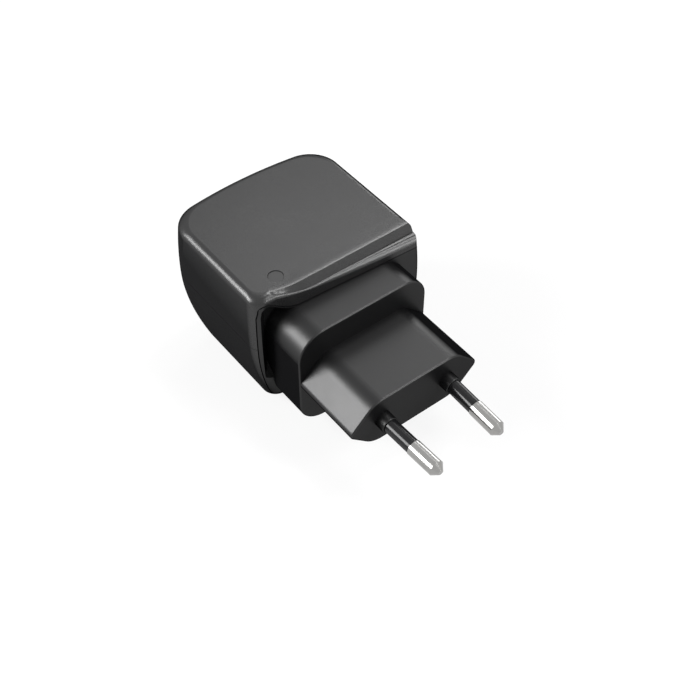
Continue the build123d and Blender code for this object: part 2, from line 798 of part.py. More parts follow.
# ------------------------------------------------------------------ assembly
def build():
    both = shells()
    nodes = {
        "upper_shell": upper_shell(both),
        "lower_shell": lower_shell(both),
        "light_pipe": light_pipe(),
        "status_led": status_led(),
        "circuit_board": circuit_board(),
        "usb_shell": usb_shell(),
        "usb_tongue": usb_tongue(),
        "usb_contacts": usb_contacts(),
        "live_spring_contact": spring_contact(-1),
        "neutral_spring_contact": spring_contact(1),
        "transformer_core": transformer_core(),
        "transformer_bobbin": transformer_bobbin(),
        "transformer_winding": transformer_winding(),
        "output_capacitor": can_capacitor(*output_capacitor_place, output_capacitor_diameter,
                                          output_capacitor_height),
        "fusible_resistor": fusible_resistor(),
        "choke_core": choke(),
        "choke_winding": choke_winding(),
        "y_capacitor": y_capacitor(),
        "bridge_rectifier": flat_package(bridge_rectifier_place, 4.0, 5.0, 1.8, 2),
        "controller_chip": flat_package(controller_chip_place, 4.0, 5.0, 1.5, 4),
        "output_diode": flat_package(output_diode_place, 4.2, 2.6, 2.0, 1),
        "plug_housing": plug_housing() + guide_posts(),
        "head_rear_cover": rear_cover(),
        "live_pin": pin(-1),
        "neutral_pin": pin(1),
        "live_sleeve": sleeve(-1),
        "neutral_sleeve": sleeve(1),
        "live_terminal": terminal(-1),
        "neutral_terminal": terminal(1),
    }
    for number, (x, y) in enumerate(bulk_capacitor_places, 1):
        nodes["bulk_capacitor_%d" % number] = can_capacitor(x, y, bulk_capacitor_diameter,
                                                            bulk_capacitor_height)
    return nodes


def main():
    os.makedirs("parts", exist_ok=True)
    nodes = {name: Compound(Part() + shape if not isinstance(shape, list) else shape).solids()
             for name, shape in build().items()}
    whole = Compound([solid for solids in nodes.values() for solid in solids]).bounding_box()
    to_base = Pos(-whole.center().X, -whole.center().Y, -whole.min.Z)
    for name, solids in nodes.items():
        shape = solids[0] if len(solids) == 1 else Compound(list(solids))
        export_step(to_base * shape, "parts/%s.step" % name)
    print("base moved by", to_base.position)
    print("size", whole.size)


main()
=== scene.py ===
"""A USB wall charger with a two-pin plug head: finishes, fine pieces and studio round its CAD frame."""

import json
import math

import bmesh
import bpy
import numpy as np
from bpy.props import FloatProperty, FloatVectorProperty, IntProperty, PointerProperty
from mathutils import Matrix, Vector


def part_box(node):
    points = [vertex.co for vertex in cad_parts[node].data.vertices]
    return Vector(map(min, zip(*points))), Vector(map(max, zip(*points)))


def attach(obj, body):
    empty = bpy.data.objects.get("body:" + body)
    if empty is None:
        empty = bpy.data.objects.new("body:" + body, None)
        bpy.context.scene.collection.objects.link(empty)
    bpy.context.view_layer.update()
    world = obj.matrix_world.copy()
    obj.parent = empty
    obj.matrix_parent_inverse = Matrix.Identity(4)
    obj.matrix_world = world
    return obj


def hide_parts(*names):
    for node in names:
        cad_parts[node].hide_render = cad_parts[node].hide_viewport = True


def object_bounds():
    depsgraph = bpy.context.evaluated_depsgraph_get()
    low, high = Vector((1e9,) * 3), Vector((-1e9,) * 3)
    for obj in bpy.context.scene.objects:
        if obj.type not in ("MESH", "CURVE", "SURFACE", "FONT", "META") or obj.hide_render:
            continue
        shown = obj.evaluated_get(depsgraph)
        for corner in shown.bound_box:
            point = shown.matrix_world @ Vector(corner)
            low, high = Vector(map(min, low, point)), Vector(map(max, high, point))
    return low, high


bl_info = {
    "name": "Wall Charger",
    "version": (1, 0, 0),
    "blender": (4, 5, 0),
    "location": "3D View > Sidebar > Charger",
    "description": "Finishes, fine pieces and studio for a USB wall charger",
    "category": "Object",
}

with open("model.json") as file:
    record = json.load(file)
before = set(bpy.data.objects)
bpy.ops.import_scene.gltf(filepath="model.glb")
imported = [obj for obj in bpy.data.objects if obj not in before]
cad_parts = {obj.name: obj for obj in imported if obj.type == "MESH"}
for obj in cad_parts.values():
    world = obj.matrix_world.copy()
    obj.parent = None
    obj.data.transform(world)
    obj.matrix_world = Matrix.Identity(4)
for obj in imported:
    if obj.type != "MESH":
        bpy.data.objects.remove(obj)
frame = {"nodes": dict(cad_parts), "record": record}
CAD_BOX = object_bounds()
NODES = frame["nodes"]
MOUNTS = {mount["name"]: mount for mount in frame["record"]["mounts"]}
BODY = "charger_body"
MM = 0.001
TAU = 2 * math.pi
CANS = ("bulk_capacitor_1", "bulk_capacitor_2", "output_capacitor")
TINNED = (0.6, 0.59, 0.56)          # colour of tinned leads
WHITE = (1.0, 1.0, 1.0)
EVEN = (1.0, 1.0, 1.0)              # a pattern that isn't stretched
ROUND_UPRIGHT = (1.0, 1.0, 0.0)     # distances taken from an upright axis
MOULD_FADE = (0.30, 0.64)           # where gloss begins and ends to fade, 0 face on and 1 edge on
SLEEVE_FADE = (0.45, 0.80)
BOARD_HOLE_LEAD = 0.30 * MM         # radius of a lead where it leaves the board


def span(node):
    """The low corner, the high corner and the middle of a CAD node's box."""
    low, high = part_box(node)
    return low, high, (low + high) / 2


def shade(colour, factor):
    return tuple(channel * factor for channel in colour)


# ------------------------------------------------------------------ sizes and colours a user may change
def colour_setting(name, words, value):
    return FloatVectorProperty(name=name, description=words, subtype="COLOR", size=3, min=0.0, max=1.0,
                               default=value)


def share_setting(name, words, value):
    return FloatProperty(name=name, description=words, subtype="FACTOR", min=0.0, max=1.0, default=value)


def length_setting(name, words, value):
    return FloatProperty(name=name, description=words, unit="LENGTH", min=0.0, default=value, precision=5)


def angle_setting(name, words, degrees):
    return FloatProperty(name=name, description=words, subtype="ANGLE", default=math.radians(degrees))


class ChargerPlastics(bpy.types.PropertyGroup):
    shell_colour: colour_setting("Shell colour", "Colour of the moulded shells", (0.0108, 0.0108, 0.0111))
    head_colour: colour_setting("Head colour", "Colour of the plug head's moulding", (0.0052, 0.0052, 0.0055))
    sleeve_colour: colour_setting("Sleeve colour", "Colour of the pins' sleeves", (0.006, 0.006, 0.0065))
    shell_roughness: share_setting("Shell roughness", "Roughness of the eroded mould finish", 0.29)
    head_roughness: share_setting("Head roughness", "Roughness of the plug head", 0.36)
    shell_gloss: share_setting("Shell gloss", "Specular level of the shells", 0.45)
    head_gloss: share_setting("Head gloss", "Specular level of the plug head", 0.34)
    grain_size: length_setting("Grain size", "Width of one grain of the mould finish", 0.00016)
    board_colour: colour_setting("Board colour", "Colour of the solder mask", (0.012, 0.075, 0.028))


class ChargerMetals(bpy.types.PropertyGroup):
    # Painted shade: the pins' nickel is set at about half the brightness of real nickel, standing in for dark
    # reflections on the plating.
    nickel_colour_painted_dark: colour_setting("Nickel colour", "Colour of the plated pins", (0.33, 0.327, 0.32))
    nickel_roughness: share_setting("Nickel roughness", "Roughness of the plating", 0.14)
    tin_colour: colour_setting("Tin colour", "Colour of the receptacle's tinned sheet", (0.58, 0.57, 0.55))
    gold_colour: colour_setting("Gold colour", "Colour of the plated contacts", (0.83, 0.60, 0.25))
    bronze_colour: colour_setting("Bronze colour", "Colour of the contact springs", (0.70, 0.42, 0.22))
    brass_colour: colour_setting("Brass colour", "Colour of the head's terminals", (0.74, 0.55, 0.24))
    copper_colour: colour_setting("Copper colour", "Colour of the enamelled wire", (0.62, 0.20, 0.07))


class ChargerPieces(bpy.types.PropertyGroup):
    coil_wire: length_setting("Coil wire", "Diameter of the choke's wire", 0.45 * MM)
    coil_margin: length_setting("Coil margin", "Between the wire and the choke's flanges", 0.15 * MM)
    tape_bulge: length_setting("Tape bulge", "How far the winding swells between its corners", 0.22 * MM)
    tape_turns: IntProperty(name="Tape turns", description="Overlapping turns of tape on the winding",
                            min=1, max=12, default=4)
    sleeve_wall: length_setting("Sleeve wall", "Thickness of the shrunk sleeve on a can", 0.11 * MM)
    sleeve_lip: length_setting("Sleeve lip", "How far the sleeve folds over the can's top", 0.75 * MM)
    vent_depth: length_setting("Vent depth", "Depth of the scored cross on a can", 0.10 * MM)
    solder_reach: length_setting("Solder reach", "Radius of a solder joint on the board", 0.85 * MM)
    solder_height: length_setting("Solder height", "How far solder climbs a lead", 0.75 * MM)
    spring_lift: length_setting("Spring lift", "How far the port's springs stand off its walls", 0.34 * MM)
    spring_width: length_setting("Spring width", "Width of one of those springs", 1.7 * MM)


class ChargerStudio(bpy.types.PropertyGroup):
    view_azimuth: angle_setting("View azimuth", "Direction of the camera, round the vertical", -37.757)
    view_elevation: angle_setting("View elevation", "Height of the camera above the horizon", 48.421)
    view_distance: length_setting("View distance", "From the camera to the mains face", 0.265141)
    aim_right: FloatProperty(name="Aim right", description="How far right of the mains face the camera aims",
                             unit="LENGTH", default=-0.014702, precision=5)
    aim_up: FloatProperty(name="Aim up", description="How far above the mains face the camera aims",
                          unit="LENGTH", default=0.010989, precision=5)
    focal_length: FloatProperty(name="Focal length", description="Lens, in millimetres on a 36 mm sensor",
                                min=10.0, max=300.0, default=60.528)
    lamp_distance: length_setting("Lamp distance", "From the charger to each lamp", 0.7)
    lamp_level: FloatProperty(name="Lamp level", description="Scales every lamp", min=0.0, default=1.0)
    floor_glow: share_setting("Floor glow", "Share of the floor's white that shadows don't reach", 0.80)


# ------------------------------------------------------------------ shader maths
class Value:
    """A shader socket that adds Math nodes when it is used in an expression."""

    def __init__(self, graph, socket):
        self.graph = graph
        self.socket = socket

    def maths(self, operation, *values, clamp=False):
        return self.graph.node("ShaderNodeMath", {"operation": operation, "use_clamp": clamp},
                                dict(enumerate(values)))

    def __add__(self, other):
        return self.maths("ADD", self, other)

    def __radd__(self, other):
        return self.maths("ADD", other, self)

    def __sub__(self, other):
        return self.maths("SUBTRACT", self, other)

    def __rsub__(self, other):
        return self.maths("SUBTRACT", other, self)

    def __mul__(self, other):
        return self.maths("MULTIPLY", self, other)

    def __rmul__(self, other):
        return self.maths("MULTIPLY", other, self)

    def __gt__(self, other):
        return self.maths("GREATER_THAN", self, other)

    def size(self):
        return self.maths("ABSOLUTE", self)

    def held(self):
        """The value kept between 0 and 1."""
        return self.maths("ADD", self, 0.0, clamp=True)

    def above(self, start, end):
        """0 up to start, 1 from end on, and a straight rise between."""
        return ((self - start) * (1.0 / (end - start))).held()


class Graph:
    """A node tree in the making."""

    def __init__(self, tree):
        self.tree = tree

    def feed(self, node, key, value):
        socket = node.inputs[key]
        if isinstance(value, Value):
            self.tree.links.new(value.socket, socket)
        elif socket.type == "RGBA" and len(value) == 3:
            socket.default_value = (*value, 1.0)
        else:
            socket.default_value = value

    def node(self, kind, choices=None, inputs=None, output=0):
        """Any node: its settings are set first, then the values or links of its sockets."""
        made = self.tree.nodes.new(kind)
        for key, choice in (choices or {}).items():
            setattr(made, key, choice)
        for key, value in (inputs or {}).items():
            self.feed(made, key, value)
        return None if output is None else Value(self, made.outputs[output])


class Recipe(Graph):
    """One material in the making, with its Principled shader."""

    def __init__(self, name, tone, roughness, metallic=0.0, fixed=None):
        self.material = bpy.data.materials.new(name)
        self.material.use_nodes = True
        super().__init__(self.material.node_tree)
        self.tree.nodes.clear()
        self.shader = self.tree.nodes.new("ShaderNodeBsdfPrincipled")
        self.output = self.tree.nodes.new("ShaderNodeOutputMaterial")
        self.glossy = Value(self, self.shader.outputs["BSDF"])
        self.show(self.glossy)
        self.set({"Base Color": tone, "Roughness": roughness, "Metallic": metallic, **(fixed or {})})

    def show(self, shader):
        """Makes that shader the one the surface shows."""
        self.feed(self.output, "Surface", shader)

    def set(self, sockets):
        """Values or links for the Principled shader's sockets."""
        for key, value in sockets.items():
            self.feed(self.shader, key, value)

    def look(self, colour, roughness, metallic=None):
        """Patterned colour and roughness, and a patterned metal share where a piece is part metal."""
        self.set({"Base Color": colour, "Roughness": roughness})
        if metallic is not None:
            self.set({"Metallic": metallic})

    def dull_at_grazing(self, start, end):
        """Fades the gloss out as the surface turns away, so that pale surroundings don't grey it."""
        matt = self.tree.nodes.new("ShaderNodeBsdfPrincipled")
        for socket in self.shader.inputs:
            if socket.is_linked:
                self.tree.links.new(socket.links[0].from_socket, matt.inputs[socket.name])
        matt.inputs["Specular IOR Level"].default_value = 0.0
        turned_away = self.node("ShaderNodeLayerWeight", None, {"Blend": 0.5}, "Facing")
        self.show(self.node("ShaderNodeMixShader", None,
                            {0: turned_away.above(start, end), 1: self.glossy,
                             2: Value(self, matt.outputs["BSDF"])}))

    def place(self, centre=(0.0, 0.0, 0.0), stretch=EVEN):
        """Where a point is from that centre, in metres, each axis times its stretch."""
        moved = tuple(-middle * factor for middle, factor in zip(centre, stretch))
        return self.node("ShaderNodeMapping", None,
                         {"Vector": self.node("ShaderNodeTexCoord", output="Object"), "Location": moved,
                          "Scale": stretch})

    def axis(self, index, centre=(0.0, 0.0, 0.0)):
        return self.node("ShaderNodeSeparateXYZ", None, {0: self.place(centre)}, index)

    def distance(self, centre, stretch=EVEN):
        """How far a point is from that centre; a stretch of 0 leaves an axis out."""
        return self.node("ShaderNodeVectorMath", {"operation": "LENGTH"},
                         {0: self.place(centre, stretch)}, "Value")

    def noise(self, size, detail=2.0, roughness=0.5, stretch=EVEN):
        return self.node("ShaderNodeTexNoise", None,
                         {"Vector": self.place(stretch=stretch), "Scale": 1.0 / size, "Detail": detail,
                          "Roughness": roughness})

    def cells(self, size, feature="F1", stretch=EVEN):
        return self.node("ShaderNodeTexVoronoi", {"feature": feature},
                         {"Vector": self.place(stretch=stretch), "Scale": 1.0 / size})

    def blend(self, first, second, mask):
        """The first colour where the mask is 0, the second where it is 1."""
        return self.node("ShaderNodeMix", {"data_type": "RGBA"}, {"Factor": mask, 6: first, 7: second},
                         output=2)

    def wave(self, value, pitch):
        """0 to 1 and back over each pitch of a value."""
        return value.maths("SINE", value * (TAU / pitch)) * 0.5 + 0.5

    def bump(self, height, depth, strength=1.0):
        """Raises the surface by height times depth."""
        raised = self.node("ShaderNodeBump", None,
                           {"Height": height, "Distance": depth, "Strength": strength})
        self.set({"Normal": raised})


# ------------------------------------------------------------------ finishes
def moulded_plastic(name, tone, roughness, gloss, grain, depth=0.16):
    """Spark-eroded moulding: fine even grain, cloudy changes of gloss and slightly lighter rubbed spots."""
    finish = Recipe(name, tone, roughness, fixed={"Specular IOR Level": gloss})
    fine = finish.noise(grain, detail=3.0, roughness=0.65)
    cloud = finish.noise(9 * MM)
    rubbed = finish.noise(3.5 * MM, detail=4.0, roughness=0.7).above(0.60, 0.78)
    height = finish.axis(2)
    underneath = 1 - height.above(0.4 * MM, 1.6 * MM)
    pale = (fine * 0.38 + rubbed * 0.14 + underneath * 0.25).held()
    finish.look(finish.blend(shade(tone, 0.82), shade(tone, 1.5), pale),
                roughness + (cloud - 0.5) * 0.08 + (fine - 0.5) * 0.14 - underneath * 0.08)
    finish.bump(fine, grain * depth, 0.6)
    finish.dull_at_grazing(*MOULD_FADE)
    return finish.material


def sleeve_plastic(name, tone):
    """Glossy overmoulding on the pins, with a faint draw along them and rings where sockets have rubbed."""
    finish = Recipe(name, tone, 0.2, fixed={"Specular IOR Level": 0.22})
    drawn = finish.noise(0.14 * MM, stretch=(1.0, 0.05, 1.0))
    rings = finish.noise(0.5 * MM, stretch=(0.05, 1.0, 0.05)).above(0.55, 0.75)
    finish.look(finish.blend(tone, shade(tone, 2.2), (drawn * 0.5 + rings * 0.2).held()),
                0.13 + drawn * 0.07 + rings * 0.07)
    finish.bump(drawn, 0.004 * MM, 0.4)
    finish.dull_at_grazing(*SLEEVE_FADE)
    return finish.material


def plated_metal(name, tone, roughness, drawn_along=(1.0, 0.04, 1.0), undercoat=None, wear=0.3):
    """Bright plating over fine draw lines, dull fingered spots, and the base metal where it has worn thin."""
    finish = Recipe(name, tone, roughness, metallic=1.0)
    drawn = finish.noise(0.10 * MM, stretch=drawn_along)
    dull = finish.noise(1.6 * MM, detail=5.0, roughness=0.7).above(0.52, 0.72)
    thin = finish.noise(0.7 * MM, detail=4.0, roughness=0.75, stretch=drawn_along).above(0.60, 0.80)
    plating = finish.blend(tone, shade(tone, 0.80), dull * 0.7)
    finish.look(finish.blend(plating, undercoat or shade(tone, 0.6), thin * wear),
                (roughness + (drawn - 0.5) * 0.10 + dull * 0.12 + thin * 0.08).held())
    finish.bump(drawn, 0.004 * MM, 0.35)
    return finish.material


def smoked_window(name, tone, gloss):
    """Tinted light guide: nearly as dark as the shell, with faint milky depth and a finely matted face."""
    finish = Recipe(name, tone, 0.36, fixed={"Specular IOR Level": gloss})
    milky = finish.noise(0.8 * MM, detail=3.0)
    fine = finish.noise(0.18 * MM, detail=3.0, roughness=0.6)
    finish.look(finish.blend(shade(tone, 0.8), shade(tone, 1.35), milky * 0.4 + fine * 0.3),
                0.30 + fine * 0.14)
    finish.bump(fine, 0.010 * MM, 0.5)
    finish.dull_at_grazing(*MOULD_FADE)
    return finish.material


def lamp_chip(name, node):
    """White moulded frame of the status light round its pale yellow phosphor."""
    high, centre = span(node)[1:]
    finish = Recipe(name, (0.8, 0.8, 0.77), 0.45)
    phosphor = 1 - finish.distance(centre, ROUND_UPRIGHT).above(0.66 * MM, 0.72 * MM)
    topside = finish.axis(2).above(high.z - 0.10 * MM, high.z - 0.05 * MM)
    speck = finish.noise(0.05 * MM)
    frame_tone = finish.blend((0.70, 0.70, 0.67), (0.86, 0.86, 0.83), speck)
    gel_tone = finish.blend((0.78, 0.62, 0.16), (0.93, 0.80, 0.30), speck)
    finish.look(finish.blend(frame_tone, gel_tone, phosphor * topside),
                0.5 - phosphor * topside * 0.32)
    finish.bump(speck, 0.01 * MM, 0.4)
    return finish.material


def laminate(name, mask_tone):
    """Glass laminate: woven yellow core showing on its edges, and solder mask over copper pours parted by
    gaps.
    """
    low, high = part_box("circuit_board")
    finish = Recipe(name, mask_tone, 0.3)
    pours = finish.cells(5.2 * MM, "DISTANCE_TO_EDGE", ROUND_UPRIGHT).above(0.045, 0.075)
    weave = finish.noise(0.35 * MM, detail=1.0, stretch=(1.0, 0.25, 1.0)) * 0.5 \
        + finish.noise(0.35 * MM, detail=1.0, stretch=(0.25, 1.0, 1.0)) * 0.5
    under_mask = finish.blend(shade(mask_tone, 0.62), shade(mask_tone, 1.3), pours)
    face = finish.blend(under_mask, shade(mask_tone, 1.7), weave.above(0.42, 0.75) * 0.35)
    height = finish.axis(2)
    edge = height.above(low.z + 0.03 * MM, low.z + 0.06 * MM) \
        * (1 - height.above(high.z - 0.06 * MM, high.z - 0.03 * MM))
    core = finish.blend((0.36, 0.31, 0.14), (0.52, 0.46, 0.24), weave)
    finish.look(finish.blend(face, core, edge),
                0.26 + weave * 0.14 + edge * 0.4)
    finish.bump(pours * (1 - edge) + weave * 0.12, 0.035 * MM, 0.8)
    return finish.material


def sintered_ferrite(name, tone):
    """Fired ferrite: dense dark grey grain with small pits and paler ground faces."""
    finish = Recipe(name, tone, 0.55)
    grain = finish.noise(0.09 * MM, detail=3.0, roughness=0.7)
    pits = 1 - finish.cells(0.55 * MM).above(0.10, 0.22)
    ground = finish.noise(0.25 * MM, stretch=(0.06, 1.0, 1.0)).above(0.45, 0.7)
    finish.look(finish.blend(shade(tone, 0.7), shade(tone, 1.9), (grain * 0.5 + ground * 0.3)),
                0.42 + grain * 0.2 + pits * 0.2)
    finish.bump(grain * 0.3 + ground * 0.2 - pits, 0.012 * MM, 0.8)
    return finish.material


def film_tape(name, tone, node):
    """Yellow polyester tape: glossy, a little see-through over the copper, with crinkles and lapped edges."""
    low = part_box(node)[0]
    finish = Recipe(name, tone, 0.25)
    height = finish.axis(2, low)
    turns = finish.wave(height, 0.34 * MM)
    crinkle = finish.noise(1.2 * MM, detail=4.0, roughness=0.6, stretch=(1.0, 1.0, 0.35))
    copper_shadow = finish.blend(tone, (0.42, 0.16, 0.03), turns * 0.30 + crinkle.above(0.5, 0.8) * 0.2)
    finish.look(copper_shadow, 0.18 + crinkle * 0.2)
    finish.bump(crinkle + turns * 0.08, 0.05 * MM, 0.6)
    return finish.material


def enamelled_wire(name, tone):
    """Enamelled copper: clear varnish over bright metal, deeper in places, with fine lengthwise scuffs."""
    finish = Recipe(name, tone, 0.25, metallic=0.9, fixed={"Coat Weight": 0.6, "Coat Roughness": 0.12})
    varnish = finish.noise(1.4 * MM, detail=3.0)
    scuff = finish.noise(0.12 * MM, detail=3.0, stretch=(1.0, 1.0, 3.0)).above(0.6, 0.75)
    finish.look(finish.blend(shade(tone, 0.62), shade(tone, 1.12), varnish),
                0.20 + scuff * 0.2)
    finish.bump(scuff, 0.006 * MM, 0.5)
    return finish.material


def spun_can(name, tone, node):
    """Drawn aluminium can: rings round its axis on the top and lengthwise draw lines on the wall."""
    high, centre = span(node)[1:]
    finish = Recipe(name, tone, 0.3, metallic=1.0)
    reach = finish.distance(centre, ROUND_UPRIGHT)
    rings = finish.node("ShaderNodeTexNoise", {"noise_dimensions": "1D"},
                        {"W": reach, "Scale": 9000.0, "Detail": 2.0})
    lines = finish.noise(0.09 * MM, stretch=(1.0, 1.0, 0.03))
    on_top = finish.axis(2).above(high.z - 0.5 * MM, high.z - 0.3 * MM)
    marks = rings * on_top + lines * (1 - on_top)
    finish.look(finish.blend(shade(tone, 0.80), tone, marks),
                0.22 + marks * 0.2)
    finish.bump(marks, 0.003 * MM, 0.5)
    return finish.material


def shrink_film(name, tone, stripe_tone, node):
    """Shrunk sleeve round a can: satin film, faint stretch marks and one paler stripe down its outer side."""
    centre = span(node)[2]
    finish = Recipe(name, tone, 0.28)
    across = finish.axis(1, centre).size()
    outward = finish.axis(0, centre) * (1.0 if centre.x < 0 else -1.0)
    stripe = (1 - across.above(0.95 * MM, 1.05 * MM)) * (outward > 0.0)
    stretch = finish.noise(0.8 * MM, detail=3.0, stretch=(1.0, 1.0, 0.15))
    film = finish.blend(shade(tone, 0.8), shade(tone, 1.3), stretch)
    finish.look(finish.blend(film, stripe_tone, stripe * 0.9), 0.22 + stretch * 0.16)
    finish.bump(stretch, 0.012 * MM, 0.5)
    return finish.material


def lacquered_body(name, tone, node):
    """Cement-coated resistor: chalky, slightly mottled lacquer, four plain rings and tinned ends."""
    low, high, centre = span(node)
    finish = Recipe(name, tone, 0.5)
    along = finish.axis(0, centre)
    mottle = finish.noise(0.4 * MM, detail=4.0, roughness=0.65)
    paint = finish.blend(shade(tone, 0.82), shade(tone, 1.12), mottle)
    for offset, ring_tone in ((-1.9, (0.30, 0.08, 0.03)), (-0.9, (0.02, 0.02, 0.02)),
                              (0.1, (0.02, 0.02, 0.02)), (1.5, (0.50, 0.36, 0.12))):
        ring = 1 - (along - offset * MM).size().above(0.24 * MM, 0.28 * MM)
        paint = finish.blend(paint, ring_tone, ring)
    body_half = (high.x - low.x) / 2 - 1.7 * MM
    wire = along.size().above(body_half, body_half + 0.05 * MM)
    finish.look(finish.blend(paint, TINNED, wire), 0.52 + mottle * 0.12 - wire * 0.3, wire)
    finish.bump(mottle * (1 - wire), 0.02 * MM, 0.6)
    return finish.material


def dipped_ceramic(name, tone, node):
    """Disc capacitor: glossy dipped epoxy that runs thinner at the rim, on tinned leads."""
    low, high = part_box(node)
    centre = Vector(((low.x + high.x) / 2, (low.y + high.y) / 2, high.z - (high.x - low.x) / 2))
    finish = Recipe(name, tone, 0.25)
    reach = finish.distance(centre, (1.0, 0.0, 1.0))
    rim = reach.above(2.2 * MM, 3.4 * MM)
    wire = 1 - finish.axis(2).above(low.z + 3.4 * MM, low.z + 3.6 * MM)
    runs = finish.noise(1.1 * MM, detail=3.0, stretch=(1.0, 1.0, 0.5))
    paint = finish.blend(shade(tone, 1.15), shade(tone, 0.6), rim * 0.6 + runs * 0.3)
    finish.look(finish.blend(paint, TINNED, wire), 0.18 + runs * 0.14 + wire * 0.1, wire)
    finish.bump(runs * (1 - wire), 0.05 * MM, 0.6)
    return finish.material


def moulded_package(name, node):
    """Chip package: matt black epoxy with silica specks, a dimple by its first lead, and tinned leads."""
    low, high, centre = span(node)
    tone = (0.018, 0.018, 0.019)
    finish = Recipe(name, tone, 0.5, fixed={"Specular IOR Level": 0.35})
    speck = finish.noise(0.05 * MM, roughness=0.7)
    dimple = 1 - finish.distance((low.x + 1.6 * MM, low.y + 0.8 * MM, low.z)).above(
        0.25 * MM, 0.30 * MM)
    lead = (finish.axis(0, centre).size().above((high.x - low.x) / 2 - 0.90 * MM,
                                                (high.x - low.x) / 2 - 0.86 * MM)
            * finish.axis(2).above(high.z - 0.27 * MM, high.z - 0.25 * MM))
    epoxy = finish.blend(shade(tone, 0.7), shade(tone, 1.9), speck)
    finish.look(finish.blend(epoxy, TINNED, lead),
                0.52 + speck * 0.12 - lead * 0.28 - dimple * 0.25, lead)
    finish.bump(speck * 0.3 - dimple, 0.03 * MM, 0.8)
    return finish.material


def glossy_phenolic(name, tone):
    """Compression-moulded bobbin: hard gloss with flow marks and a fine dust of filler."""
    finish = Recipe(name, tone, 0.28)
    flow = finish.noise(2.5 * MM, detail=3.0, stretch=(1.0, 0.4, 1.0))
    dust = finish.noise(0.06 * MM, roughness=0.7)
    finish.look(finish.blend(shade(tone, 0.7), shade(tone, 2.0), flow * 0.3 + dust * 0.3),
                0.2 + flow * 0.16 + dust * 0.06)
    finish.bump(flow * 0.5 + dust * 0.1, 0.02 * MM, 0.5)
    return finish.material


def liquid_crystal_plastic(name, tone):
    """Injected insulator: satin, with flow lines from its gate and slightly paler edges of the weld."""
    finish = Recipe(name, tone, 0.42, fixed={"Specular IOR Level": 0.4})
    flow = finish.noise(0.7 * MM, detail=4.0, roughness=0.55, stretch=(1.0, 0.18, 1.0))
    weld = 1 - finish.axis(0).size().above(0.05 * MM, 0.35 * MM)
    finish.look(finish.blend(shade(tone, 0.75), shade(tone, 1.7), flow * 0.45 + weld * 0.3),
                0.36 + flow * 0.14)
    finish.bump(flow, 0.01 * MM, 0.5)
    return finish.material


def cover(material, *nodes):
    """Puts a finish on CAD nodes."""
    for node in nodes:
        for entry in NODES[node].material_slots:
            entry.material = material


# ------------------------------------------------------------------ surfaces
def grid_faces(count, rows, columns, close_rows, close_columns):
    """Quads between neighbouring points of so many grids; a closed direction joins its end to its start."""
    index = np.arange(count * rows * columns).reshape(count, rows, columns)
    if close_rows:
        index = np.concatenate([index, index[:, :1]], axis=1)
    if close_columns:
        index = np.concatenate([index, index[:, :, :1]], axis=2)
    corners = (index[:, :-1, :-1], index[:, 1:, :-1], index[:, 1:, 1:], index[:, :-1, 1:])
    return np.stack(corners, axis=-1).reshape(-1, 4)


def piece(name, grids, material, close_rows=False, close_columns=False, sharp=35.0):
    """One object of grids of points; seams and poles are merged and faces turned outwards."""
    points, faces, start = [], [], 0
    for grid in grids:
        grid = grid if grid.ndim == 4 else grid[None]
        faces.append(start + grid_faces(*grid.shape[:3], close_rows, close_columns))
        points.append(grid.reshape(-1, 3))
        start += len(points[-1])
    mesh = bpy.data.meshes.new(name)
    mesh.from_pydata(np.concatenate(points).tolist(), [], np.concatenate(faces).tolist())
    shape = bmesh.new()
    shape.from_mesh(mesh)
    bmesh.ops.remove_doubles(shape, verts=shape.verts, dist=0.002 * MM)
    bmesh.ops.recalc_face_normals(shape, faces=shape.faces)
    shape.to_mesh(mesh)
    shape.free()
    mesh.shade_smooth()
    mesh.set_sharp_from_angle(angle=math.radians(sharp))
    mesh.materials.append(material)
    made = bpy.data.objects.new(name, mesh)
    bpy.context.scene.collection.objects.link(made)
    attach(made, BODY)
    return made


def turned(centre, reach, height, steps=64):
    """A profile carried round an upright axis: each point of it is (reach cos a, reach sin a, height)."""
    around = np.linspace(0, TAU, steps, endpoint=False)
    reach, height = np.broadcast_arrays(np.asarray(reach, float), np.asarray(height, float))
    return np.stack([centre[0] + reach[:, None] * np.cos(around), centre[1] + reach[:, None] * np.sin(around),
                     np.repeat(height[:, None], steps, axis=1)], axis=-1)


def unit(vectors):
    return vectors / np.linalg.norm(vectors, axis=-1, keepdims=True)


def tube(path, away, diameter, steps=12):
    """A circle carried along a path: two directions square to the path, one of them nearest to away."""
    along = unit(np.gradient(path, axis=0))
    aside = unit(np.cross(along, away))
    outward = np.cross(aside, along)
    around = np.linspace(0, TAU, steps, endpoint=False)[None, :, None]
    ring = np.cos(around) * outward[:, None] + np.sin(around) * aside[:, None]
    wall = path[:, None] + diameter / 2 * ring
    ends = [np.repeat(point[None, None], steps, axis=1) for point in (path[0], path[-1])]
    return np.concatenate([ends[0], wall, ends[1]])


def bezier(start, leave, arrive, end, count):
    """The cubic curve from start to end whose handles are leave and arrive."""
    share = np.linspace(0, 1, count)[:, None]
    rest = 1 - share
    return (rest ** 3 * start + 3 * rest ** 2 * share * leave + 3 * rest * share ** 2 * arrive
            + share ** 3 * end)


def rounded_loop(half_x, half_y, radius, steps):
    """A rectangle with round corners: each corner's centre plus a quarter turn, steps points to a corner."""
    quarter = np.linspace(0, math.pi / 2, steps)
    turn = (np.arange(4)[:, None] * math.pi / 2 + quarter).ravel()
    side_x = np.repeat([1, -1, -1, 1], steps)
    side_y = np.repeat([1, 1, -1, -1], steps)
    centre = np.stack([side_x * (half_x - radius), side_y * (half_y - radius)], axis=-1)
    out = np.stack([np.cos(turn), np.sin(turn)], axis=-1)
    return centre, out


def straight(start, end, count):
    share = np.linspace(0, 1, count, endpoint=False)[:, None]
    return start + (end - start) * share


